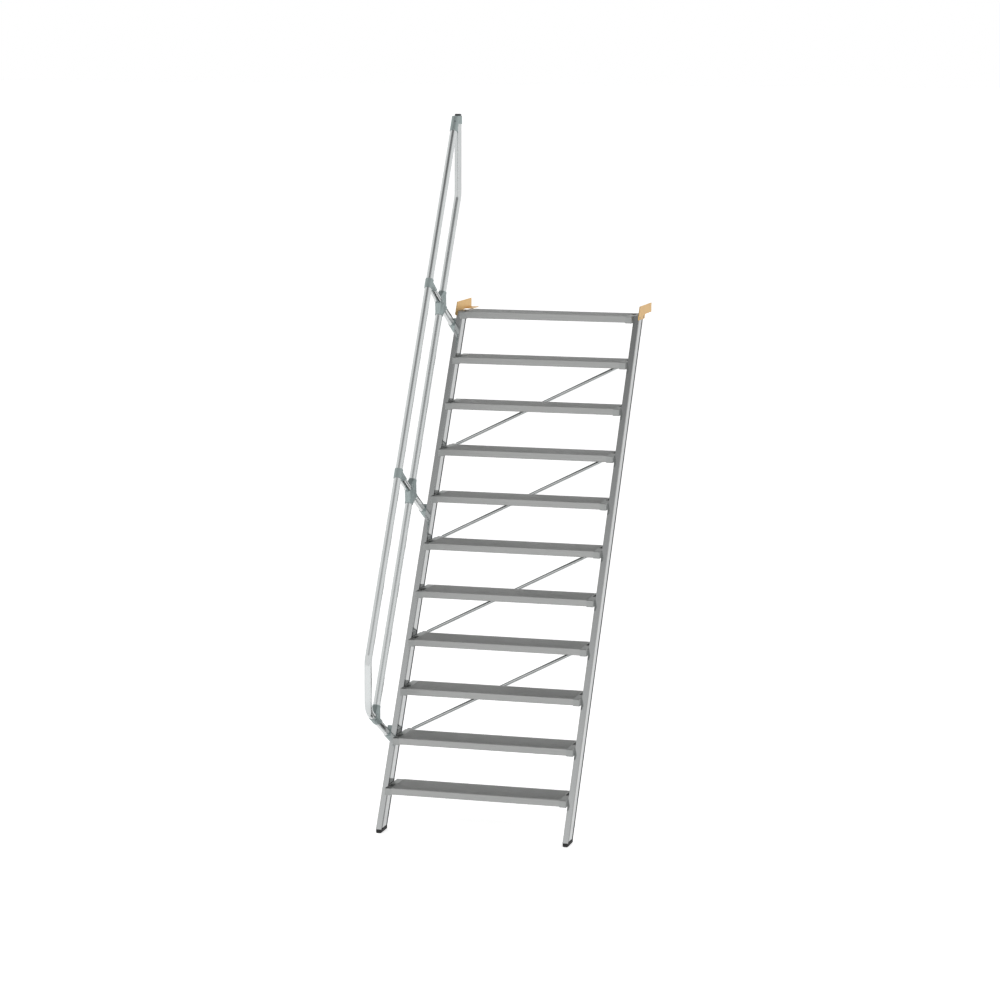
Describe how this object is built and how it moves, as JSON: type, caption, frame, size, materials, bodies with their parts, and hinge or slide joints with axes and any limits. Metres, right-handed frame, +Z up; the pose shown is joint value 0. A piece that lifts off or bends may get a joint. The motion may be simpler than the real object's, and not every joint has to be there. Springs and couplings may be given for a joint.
{
  "type": "industrial stair",
  "caption": "Steep aluminium stair with grooved treads between box stringers, a double tube handrail on one side, rubber feet and steel hooks for a platform edge.",
  "frame": {"origin": "middle of the underside of the right hook's tab, where it rests on the platform", "axes": "+X across the stair to the user's right, +Y away from the user onto the platform, +Z up"},
  "size_m": [1.112, 1.876, 3.7733],
  "materials": {
    "tread_board": "matt mill",
    "stringer": "satin mill",
    "cast_end": "cast",
    "brace_tube": "satin mill",
    "rail_tube": "satin",
    "cast_fitting": "cast",
    "rubber_foot": "matt",
    "black_plug": "matt",
    "plated_steel": "yellow passivated zinc"
  },
  "bodies": {
    "root": {"brace_1": "brace_tube", "brace_2": "brace_tube", "brace_3": "brace_tube", "brace_4": "brace_tube", "brace_lugs": "cast_end", "foot_left": "rubber_foot", "foot_right": "rubber_foot", "hook_left": "plated_steel", "hook_right": "plated_steel", "mid_rail": "rail_tube", "post_clamp_lower": "cast_fitting", "post_clamp_middle": "cast_fitting", "post_clamp_upper": "cast_fitting", "post_middle": "rail_tube", "post_upper": "rail_tube", "rail_cross_middle": "cast_fitting", "rail_cross_upper": "cast_fitting", "rail_plug": "black_plug", "rail_tee_lower": "cast_fitting", "rail_tee_middle": "cast_fitting", "rail_tee_upper": "cast_fitting", "stringer_left": "stringer", "stringer_right": "stringer", "top_connector": "cast_fitting", "top_rail": "rail_tube", "tread_01": "tread_board", "tread_02": "tread_board", "tread_03": "tread_board", "tread_04": "tread_board", "tread_05": "tread_board", "tread_06": "tread_board", "tread_07": "tread_board", "tread_08": "tread_board", "tread_09": "tread_board", "tread_10": "tread_board", "tread_11": "tread_board", "tread_ends_left": "cast_end", "tread_ends_right": "cast_end"}
  },
  "joints": []
}
